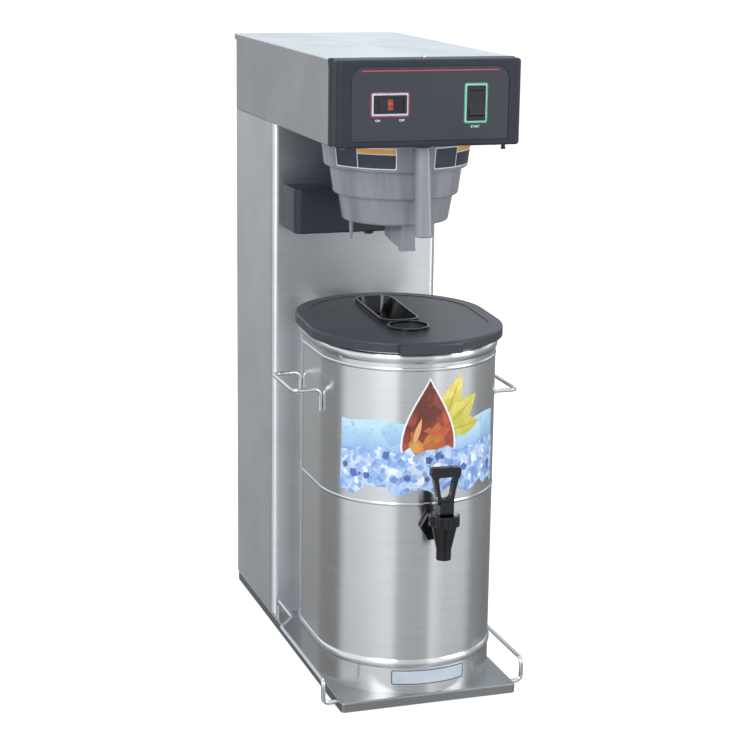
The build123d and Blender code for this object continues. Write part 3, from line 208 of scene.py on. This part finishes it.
finishes = {
    "base_tray": shaded_tray_steel, "trunk_shell": trunk_steel, "back_panel": cabinet_steel,
    "hood_shell": cabinet_steel, "top_cover": cabinet_steel, "funnel_rails": cabinet_steel,
    "tank_shelf": cabinet_steel, "water_tank": cabinet_steel, "tank_lid": cabinet_steel,
    "tray_feet": rubber_black, "guide_rail_left": wire_steel, "guide_rail_right": wire_steel,
    "back_panel_screws": wire_steel, "panel_screw": wire_steel, "panel_pin": housing_plastic,
    "control_panel": bezel_plastic, "control_overlay": label_film,
    "power_switch_body": switch_plastic, "power_rocker": switch_plastic,
    "power_lamp": lamp_lens, "start_switch_body": switch_plastic,
    "start_rocker": switch_plastic, "spray_head": housing_plastic,
    "brew_funnel": funnel_plastic, "filter_basket": funnel_plastic,
    "dilution_housing": housing_plastic, "dilution_nozzle": faucet_plastic,
    "heating_element": heater_tube, "temperature_probe": wire_steel,
    "brew_valve": brass_cast, "dilution_valve": brass_cast, "inlet_valve": brass_cast,
    "inlet_nut": brass_cast, "brew_line": hose_silicone, "fill_line": hose_silicone,
    "cord_gland": housing_plastic, "control_board": board_laminate,
    "dispenser_shell": vessel_steel, "dispenser_floor": vessel_steel,
    "side_handle_left": wire_steel, "side_handle_right": wire_steel,
    "name_plate": plate_enamel, "faucet_body": faucet_plastic, "shank_nuts": faucet_plastic,
    "shank_gaskets": rubber_black, "faucet_bonnet": faucet_plastic,
    "lever_pin": wire_steel, "faucet_lever": faucet_plastic, "seat_cup": rubber_black,
    "dispenser_lid": lid_plastic,
}
for name, finish in finishes.items():
    for entry in nodes[name].material_slots:
        entry.material = finish

# ---- Printed graphics ----------------------------------------------------------

# Each print is a flat mesh in (x, z), or in (way round, z), that is laid on its surface and
# stands off it by one film thickness per layer.
FILM = 0.00005
LABEL_Y = BASE_Y - 0.2373
VESSEL_RADIUS, VESSEL_Y = 0.124, BASE_Y - 0.1555
PLATE_RADIUS = 0.1250
# The funnel's top wall is a cone; its labels are measured out on the radius between.
FUNNEL_Y, FUNNEL_RADIUS = BASE_Y - 0.100, 0.1015
FUNNEL_FOOT_RADIUS, FUNNEL_HEAD_RADIUS = 0.0988, 0.1035
FUNNEL_FOOT_Z, FUNNEL_HEAD_Z = 0.7208, 0.7594
# Wrapped prints are cut every so many degrees to follow the bend.
CUT_ANGLE = 3.0


def way_round(radius, degrees):
    return radius * math.radians(degrees)


def on_label(x, z, lift):
    return x, LABEL_Y - lift, z


def on_vessel(along, z, lift, radius=VESSEL_RADIUS):
    angle = along / radius
    reach = radius + lift
    return reach * math.sin(angle), VESSEL_Y - reach * math.cos(angle), z


def on_plate(along, z, lift):
    return on_vessel(along, z, lift, PLATE_RADIUS)


def on_funnel(along, z, lift):
    rise = (z - FUNNEL_FOOT_Z) / (FUNNEL_HEAD_Z - FUNNEL_FOOT_Z)
    reach = FUNNEL_FOOT_RADIUS + (FUNNEL_HEAD_RADIUS - FUNNEL_FOOT_RADIUS) * rise + lift
    angle = along / FUNNEL_RADIUS
    return reach * math.sin(angle), FUNNEL_Y - reach * math.cos(angle), z


def piece(name, mesh, place, material, body, layer, bend_step=0.0):
    """Lay a flat (x, z) mesh on its surface, cut finely enough to follow the bend."""
    work = bmesh.new()
    work.from_mesh(mesh)
    if bend_step:
        low = min(vertex.co.x for vertex in work.verts)
        high = max(vertex.co.x for vertex in work.verts)
        for index in range(1, int((high - low) / bend_step) + 1):
            bmesh.ops.bisect_plane(work, geom=work.verts[:] + work.edges[:] + work.faces[:],
                                   plane_co=(low + index * bend_step, 0, 0), plane_no=(1, 0, 0))
    for vertex in work.verts:
        vertex.co = Vector(place(vertex.co.x, vertex.co.y, layer * FILM))
    bmesh.ops.recalc_face_normals(work, faces=work.faces)
    for face in work.faces:
        middle = face.calc_center_median()
        if face.normal.dot(Vector((middle.x, middle.y - VESSEL_Y, 0.0))) < 0:
            face.normal_flip()
    work.to_mesh(mesh)
    work.free()
    mesh.name = name
    mesh.materials.clear()
    mesh.materials.append(material)
    made = bpy.data.objects.new(name, mesh)
    bpy.context.scene.collection.objects.link(made)
    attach(made, body)
    return made


def mesh_of(curve):
    """Filled mesh of a flat curve or text, its holder removed."""
    holder = bpy.data.objects.new(curve.name, curve)
    bpy.context.scene.collection.objects.link(holder)
    bpy.context.view_layer.update()
    mesh = bpy.data.meshes.new_from_object(
        holder.evaluated_get(bpy.context.evaluated_depsgraph_get()))
    bpy.data.objects.remove(holder)
    return mesh


def print_loops(name, loops, place, material, body, layer=1.0, bend_step=0.0):
    """Flat print from closed loops of (x, z) in metres; inner loops cut it."""
    curve = bpy.data.curves.new(name + "_outline", "CURVE")
    curve.dimensions = "2D"
    curve.fill_mode = "BOTH"
    for loop in loops:
        spline = curve.splines.new("POLY")
        spline.points.add(len(loop) - 1)
        for point, (x, z) in zip(spline.points, loop):
            point.co = (x, z, 0.0, 1.0)
        spline.use_cyclic_u = True
    return piece(name, mesh_of(curve), place, material, body, layer, bend_step)


def rounded(x, z, width, height, radius, steps=6):
    """Closed loop of a rounded rectangle, centred at (x, z)."""
    loop = []
    for corner, (sx, sz) in enumerate(((1, 1), (-1, 1), (-1, -1), (1, -1))):
        cx = x + sx * (width / 2 - radius)
        cz = z + sz * (height / 2 - radius)
        for step in range(steps + 1):
            angle = math.radians(90 * (corner + step / steps))
            loop.append((cx + radius * math.cos(angle), cz + radius * math.sin(angle)))
    return loop


def words(name, text, x, z):
    """White lettering on the panel label, slightly bold, centred at (x, z)."""
    curve = bpy.data.curves.new(name + "_text", "FONT")
    curve.body = text
    curve.size = LETTER_HEIGHT
    curve.align_x = "CENTER"
    curve.align_y = "CENTER"
    curve.offset = LETTER_HEIGHT * 0.02
    mesh = mesh_of(curve)
    mesh.transform(Matrix.Translation((x, z, 0.0)))
    return piece(name, mesh, on_label, white_ink, "brewer", 1.0)


LETTER_HEIGHT = 0.0042
red_ink = ink("ink_rose", "#B8455A", "#C24B60")
green_ink = ink("ink_green", "#49A582", "#52B08B")
white_ink = ink("ink_white", "#D8E2E8", "#E2EAEF")
mint_ink = ink("ink_mint", "#A9DCCB", "#B5E3D4")
sky_ink = ink("ink_pale_blue", "#B9D3E2", "#C6DCE8")
navy_ink = ink("ink_navy", "#2E3542", "#373E4B")
amber_ink = ink("ink_amber_strip", "#E2A347", "#EBAE55")
edge_ink = ink("ink_dark_edge", "#22262F", "#2A2E37")

# Panel label: a thin line across the head and a two-colour frame round each switch.
print_loops("print_red_line", [rounded(0.0, 0.8603, 0.19, 0.0015, 0.0007)], on_label, red_ink,
            "brewer")
for name, x, z, width, height, outer_ink, inner_ink in (
        ("power", -0.056, 0.8172, 0.0524, 0.0316, red_ink, sky_ink),
        ("start", 0.0626, 0.8172, 0.0328, 0.0525, green_ink, mint_ink)):
    outer = rounded(x, z, width, height, 0.0028)
    middle = rounded(x, z, width - 0.0032, height - 0.0032, 0.0016)
    inner = rounded(x, z, width - 0.0078, height - 0.0078, 0.0006)
    print_loops(f"print_{name}_frame", [outer, middle], on_label, outer_ink, "brewer")
    print_loops(f"print_{name}_field", [middle, inner], on_label, inner_ink, "brewer")
words("print_on", "ON", -0.0727, 0.7965)
words("print_off", "OFF", -0.0397, 0.7965)
words("print_start", "START", 0.0622, 0.7865)

# Name plate: bare enamel with a thin dark edge line.
print_loops("print_plate_edge", [rounded(0.0, 0.039, 0.1078, 0.0208, 0.0028),
                                 rounded(0.0, 0.039, 0.1054, 0.0184, 0.0018)],
            on_plate, edge_ink, "dispenser", 1.0, way_round(PLATE_RADIUS, CUT_ANGLE))

# Two bare label plates on the funnel: pale edge, dark fields and an amber strip.
LABEL_LOW, LABEL_HIGH, STRIP_LOW, LABEL_LINE = 0.7258, 0.7548, 0.7462, 0.0013
for side, start, split, end in (("left", -71.5, -49.3, -18.0), ("right", 12.0, 34.5, 65.5)):
    x0, x1, x2 = (way_round(FUNNEL_RADIUS, angle) for angle in (start, split, end))
    line, half_line = LABEL_LINE, LABEL_LINE / 2
    low, high = LABEL_LOW + line, LABEL_HIGH - line
    parts = (("base", white_ink, x0, x2, LABEL_LOW, LABEL_HIGH, 1.0),
             ("field", navy_ink, x0 + line, x1 - half_line, low, high, 2.0),
             ("panel", navy_ink, x1 + half_line, x2 - line, low, STRIP_LOW - half_line, 2.0),
             ("strip", amber_ink, x1 + half_line, x2 - line, STRIP_LOW + half_line, high, 2.0))
    for part, colour, left, right, foot, head, layer in parts:
        box = rounded((left + right) / 2, (foot + head) / 2, right - left, head - foot, 0.0012)
        print_loops(f"funnel_label_{side}_{part}", [box], on_funnel, colour, "funnel", layer,
                    way_round(FUNNEL_RADIUS, CUT_ANGLE))

# ---- Wrap-round picture on the vessel: an amber drop and leaves over broken ice ----

SIDE_LEFT, SIDE_RIGHT = (way_round(VESSEL_RADIUS, angle) for angle in (-62.0, 53.0))
# Beads and chips keep this far from the picture's two ends.
SIDE_MARGIN = 0.006


def height_blend(name, stops, low, high, cells):
    """Ink that changes with height between low and high, broken up by cells (per metre)."""
    made = bpy.data.materials.new(name)
    made.use_nodes = True
    tree = made.node_tree
    shader = tree.nodes["Principled BSDF"]
    shader.inputs["Roughness"].default_value = 0.3
    place = add(tree, "ShaderNodeTexCoord").outputs["Object"]
    axes = add(tree, "ShaderNodeSeparateXYZ", {}, {0: place})
    rise = add(tree, "ShaderNodeMapRange", {"From Min": low, "From Max": high},
               {"Value": axes.outputs["Z"]})
    facets = add(tree, "ShaderNodeTexVoronoi", {"Scale": cells, "Randomness": 1.0},
                 {"Vector": place})
    shade = add(tree, "ShaderNodeSeparateColor", {}, {0: facets.outputs["Color"]})
    slope = add(tree, "ShaderNodeMath", {"operation": "MULTIPLY_ADD", 1: 0.35},
                {0: facets.outputs["Distance"], 2: shade.outputs[0]})
    spread = add(tree, "ShaderNodeMath", {"operation": "MULTIPLY_ADD", 1: 0.62, 2: -0.36},
                 {0: slope.outputs[0]})
    mixed = add(tree, "ShaderNodeMath", {"operation": "ADD", "use_clamp": True},
                {0: rise.outputs["Result"], 1: spread.outputs[0]})
    colour = add(tree, "ShaderNodeValToRGB", {}, {"Fac": mixed.outputs[0]}, stops)
    tree.links.new(colour.outputs["Color"], shader.inputs["Base Color"])
    return made


mist_ink = height_blend("ink_cold_mist", ((0.0, linear("#7FA9DF")), (1.0, linear("#BFE4F6"))),
                        0.350, 0.402, 30.0)
ice_ink = height_blend(
    "ink_broken_ice", ((0.0, linear("#4E66A6")), (1.0, linear("#F2F7FF")),
                       (0.25, linear("#7C9EDB")), (0.5, linear("#9DBDEC")),
                       (0.75, linear("#C9DDF8"))), -0.2, 0.95, 130.0)
tea_ink = height_blend(
    "ink_amber_tea", ((0.0, linear("#E5B768")), (1.0, linear("#6E3A30")),
                      (0.3, linear("#C4803F")), (0.55, linear("#C2593A")),
                      (0.8, linear("#93453A"))), 0.330, 0.425, 75.0)
leaf_ink = height_blend("ink_leaf", ((0.0, linear("#C9C455")), (1.0, linear("#F0E27A"))),
                        0.40, 0.475, 60.0)
rib_ink = ink("ink_leaf_rib", "#B99B3C", "#C7AA4A")
glow_ink = ink("ink_drop_glow", "#E0A06C", "#EBB684")
glint_ink = ink("ink_glint", "#E9F1FB", "#F6FAFF")
deep_ink = ink("ink_deep_ice", "#4B62A4", "#5E78BC")
rim_ink = ink("ink_drop_rim", "#8FB0E0", "#A2BFE8")

random.seed(7)


def jagged(low, high, z, rise, pitch):
    """Uneven edge from low to high, its corners about pitch apart."""
    edge = []
    along = low
    while along < high:
        edge.append((along, z + random.uniform(-rise, rise)))
        along += pitch * random.uniform(0.6, 1.4)
    edge.append((high, z))
    return edge


def drop(x, z, width, height, steps=28):
    """Closed loop of a drop with its point up; z is the foot's height."""
    loop = []
    for index in range(steps):
        turn = 2 * math.pi * index / steps
        swell = 1.22 * math.sin(turn) * math.sin(turn / 2) ** 1.3
        loop.append((x + width / 2 * swell, z + height / 2 * (1.0 + math.cos(turn))))
    return loop


def leaf(x, z, length, width, lean, steps=12):
    """Closed loop of a pointed leaf growing from (x, z), leaning by an angle in degrees."""
    sides = []
    for sign in (1, -1):
        for index in range(steps + 1):
            part = index / steps if sign == 1 else 1 - index / steps
            sides.append((sign * width / 2 * math.sin(math.pi * part ** 0.8), length * part))
    turn = math.radians(lean)
    return [(x + a * math.cos(turn) + b * math.sin(turn),
             z - a * math.sin(turn) + b * math.cos(turn)) for a, b in sides]


def wrapped(name, loops, material, layer):
    print_loops(name, loops, on_vessel, material, "dispenser", layer,
                way_round(VESSEL_RADIUS, CUT_ANGLE))


# Layers: mist 1, beads 2, leaves and ribs 3 to 8, drop 9 to 11, ice 15, chips 16 to 18.
wave = [(SIDE_RIGHT - (SIDE_RIGHT - SIDE_LEFT) * i / 40,
         0.4005 + 0.0022 * math.sin(i * 0.45)) for i in range(41)]
wrapped("picture_mist", [jagged(SIDE_LEFT, SIDE_RIGHT, 0.330, 0.002, 0.02) + wave], mist_ink, 1.0)
for index in range(34):
    x = random.uniform(SIDE_LEFT + SIDE_MARGIN, SIDE_RIGHT - SIDE_MARGIN)
    z = random.uniform(0.377, 0.396)
    size = random.uniform(0.0022, 0.0044)
    wrapped(f"picture_bead_{index}", [rounded(x, z, size, size * 1.1, size / 2.05, 3),
                                      rounded(x, z, size * 0.55, size * 0.6, size / 3.8, 3)],
            rim_ink, 2.0)
for index, (x, z, length, width, lean) in enumerate(
        ((0.012, 0.398, 0.070, 0.031, 22), (0.018, 0.394, 0.062, 0.030, 52),
         (0.020, 0.388, 0.054, 0.026, 84))):
    layer = 3.0 + 2.0 * index
    wrapped(f"picture_leaf_{index}", [leaf(x, z, length, width, lean)], leaf_ink, layer)
    wrapped(f"picture_rib_{index}", [leaf(x, z, length * 0.92, width * 0.06, lean)], rib_ink,
            layer + 1.0)
wrapped("picture_drop_rim", [drop(-0.008, 0.3275, 0.088, 0.1345)], glint_ink, 9.0)
wrapped("picture_drop", [drop(-0.008, 0.330, 0.082, 0.128)], tea_ink, 10.0)
wrapped("picture_drop_glow", [leaf(-0.0285, 0.372, 0.036, 0.0075, 16)], glow_ink, 11.0)
upper = jagged(SIDE_LEFT, SIDE_RIGHT, 0.362, 0.007, 0.011)
lower = jagged(SIDE_LEFT - 0.002, SIDE_RIGHT + 0.002, 0.303, 0.008, 0.012)
wrapped("picture_ice", [upper + lower[::-1]], ice_ink, 15.0)
for index in range(46):
    x = random.uniform(SIDE_LEFT + SIDE_MARGIN, SIDE_RIGHT - SIDE_MARGIN)
    z = random.uniform(0.314, 0.356)
    size = random.uniform(0.004, 0.009)
    start = random.uniform(0, 2 * math.pi)
    corners = [(x + size * random.uniform(0.5, 1.0) * math.cos(start + turn),
                z + size * random.uniform(0.5, 1.0) * math.sin(start + turn))
               for turn in (0.0, 1.2, 2.4, 3.7, 5.0)]
    wrapped(f"picture_chip_{index}", [corners], (glint_ink, rim_ink, deep_ink)[index % 3],
            16.0 + index % 3)

# ---- Studio -------------------------------------------------------------------

FLOOR_GLOW = 0.5


def studio_plane(name, corners, material):
    mesh = bpy.data.meshes.new(name)
    mesh.from_pydata(corners, [], [(0, 1, 2, 3)])
    mesh.materials.append(material)
    made = bpy.data.objects.new(name, mesh)
    bpy.context.scene.collection.objects.link(made)
    return made


# The floor is white paint; to the camera it glows a little, so that only the shadow is grey.
floor_paint = bpy.data.materials.new("studio_floor")
floor_paint.use_nodes = True
tree = floor_paint.node_tree
paint = tree.nodes["Principled BSDF"]
paint.inputs["Base Color"].default_value = linear("#F2F2F2")
paint.inputs["Roughness"].default_value = 0.9
paint.inputs["Emission Color"].default_value = (1.0, 1.0, 1.0, 1.0)
tree.links.new(add(tree, "ShaderNodeMath", {"operation": "MULTIPLY", 1: FLOOR_GLOW},
                   {0: add(tree, "ShaderNodeLightPath").outputs["Is Camera Ray"]}).outputs[0],
               paint.inputs["Emission Strength"])
floor = studio_plane("studio_floor", [(-30, -30, 0), (30, -30, 0), (30, 30, 0), (-30, 30, 0)],
                     floor_paint)
floor.visible_glossy = False

# Light: an even soft white for matte surfaces; in reflections, the cards and dark gaps of a
# studio round the object, by compass angle, under a bright ceiling.
world = bpy.data.worlds.new("studio_light")
bpy.context.scene.world = world
world.use_nodes = True
tree = world.node_tree
tree.nodes.clear()
path = add(tree, "ShaderNodeLightPath")
way = add(tree, "ShaderNodeSeparateXYZ", {},
          {0: add(tree, "ShaderNodeTexCoord").outputs["Generated"]})
front = add(tree, "ShaderNodeMath", {"operation": "MULTIPLY", 1: -1.0}, {0: way.outputs["Y"]})
compass = add(tree, "ShaderNodeMath", {"operation": "ARCTAN2"},
              {0: way.outputs["X"], 1: front.outputs[0]})
turned = add(tree, "ShaderNodeMapRange",
             {"From Min": -math.pi, "From Max": math.pi}, {"Value": compass.outputs[0]})
# Degrees from the front, to the right, and the brightness there.
CARDS = ((-180, 0.28), (-172, 0.28), (-167, 0.40), (-160, 0.40), (-152, 0.30), (-112, 0.28),
         (-99, 0.76), (-75, 0.84), (-46, 1.0), (-31, 1.0), (-24, 0.60), (0, 0.55), (15, 0.57),
         (18, 0.90), (21, 1.0), (38, 0.72), (70, 0.68), (84, 0.36), (120, 0.26), (180, 0.28))
stops = [((angle + 180) / 360, (value * 0.975, value, value * 1.02, 1.0))
         for angle, value in CARDS]
stops = [stops[0], stops[-1], *stops[1:-1]]
cards = add(tree, "ShaderNodeValToRGB", {}, {"Fac": turned.outputs["Result"]}, stops)
climb = add(tree, "ShaderNodeMapRange",
            {"interpolation_type": "SMOOTHSTEP", "From Min": 0.0, "From Max": 0.1},
            {"Value": way.outputs["Z"]})
above = add(tree, "ShaderNodeMapRange",
            {"interpolation_type": "SMOOTHSTEP", "From Min": 0.2, "From Max": 0.5,
             "To Min": 1.0, "To Max": 0.6}, {"Value": way.outputs["Z"]})
ceiling = add(tree, "ShaderNodeVectorMath", {"operation": "SCALE", 0: (0.88, 0.95, 1.0)},
              {"Scale": above.outputs["Result"]})
fade = add(tree, "ShaderNodeMapRange", {"From Min": -0.42, "From Max": -0.12,
                                        "To Min": 0.52, "To Max": 1.02},
           {"Value": way.outputs["Z"]})
behind = add(tree, "ShaderNodeMapRange",
             {"interpolation_type": "SMOOTHSTEP", "From Min": -0.2, "From Max": 0.35},
             {"Value": way.outputs["Y"]})
overhead = add(tree, "ShaderNodeMath", {"operation": "MULTIPLY"},
               {0: climb.outputs["Result"], 1: behind.outputs["Result"]})
lower = add(tree, "ShaderNodeVectorMath", {"operation": "SCALE"},
            {0: cards.outputs["Color"], "Scale": fade.outputs["Result"]})
room = add(tree, "ShaderNodeMix", {"data_type": "RGBA"},
           {0: overhead.outputs[0], 6: lower.outputs[0], 7: ceiling.outputs[0]})
mirror = add(tree, "ShaderNodeMath", {"operation": "MAXIMUM"},
             {0: path.outputs["Is Glossy Ray"], 1: path.outputs["Is Transmission Ray"]})
soft = add(tree, "ShaderNodeBackground", {"Color": linear("#F1F3F6"), "Strength": 0.78})
plain = add(tree, "ShaderNodeBackground", {"Color": (1, 1, 1, 1), "Strength": 1.0})
shown = add(tree, "ShaderNodeBackground", {"Strength": 1.12}, {"Color": room.outputs[2]})
first = add(tree, "ShaderNodeMixShader", {},
            {0: mirror.outputs[0], 1: soft.outputs[0], 2: shown.outputs[0]})
both = add(tree, "ShaderNodeMixShader", {},
           {0: path.outputs["Is Camera Ray"], 1: first.outputs[0], 2: plain.outputs[0]})
add(tree, "ShaderNodeOutputWorld", {}, {"Surface": both.outputs[0]})


def softbox(name, place, aim, width, height, power):
    light = bpy.data.lights.new(name, "AREA")
    light.shape = "RECTANGLE"
    light.size, light.size_y = width, height
    light.energy = power
    made = bpy.data.objects.new(name, light)
    made.location = place
    made.rotation_euler = (Vector(aim) - Vector(place)).to_track_quat("-Z", "Y").to_euler()
    bpy.context.scene.collection.objects.link(made)
    return made


softbox("key_left", (-2.2, -2.6, 2.2), (0, 0, 0.45), 1.6, 1.6, 45)
softbox("fill_right", (2.4, -1.8, 1.4), (0, 0, 0.45), 1.4, 2.0, 22)
softbox("top", (0.0, 0.2, 3.0), (0, 0, 0.4), 2.0, 2.0, 16)

# Camera: placed and turned as the view was measured, a long lens on 36 mm film.
camera_data = bpy.data.cameras.new("camera")
camera_data.lens = 92.92
camera_data.sensor_width = 36.0
camera_data.clip_end = 100.0
camera = bpy.data.objects.new("camera", camera_data)
right = Vector((0.94918763, -0.314404, 0.01389141))
up = Vector((0.0619222, 0.22985666, 0.97125257))
ahead = Vector((0.30855873, 0.92104074, -0.23764568))
turn = Matrix((right, up, -ahead)).transposed().to_4x4()
camera.matrix_world = Matrix.Translation((-0.86612, -2.60976 + BASE_Y, 1.07144)) @ turn
bpy.context.scene.collection.objects.link(camera)
bpy.context.scene.camera = camera
bpy.context.scene.view_settings.view_transform = "Standard"
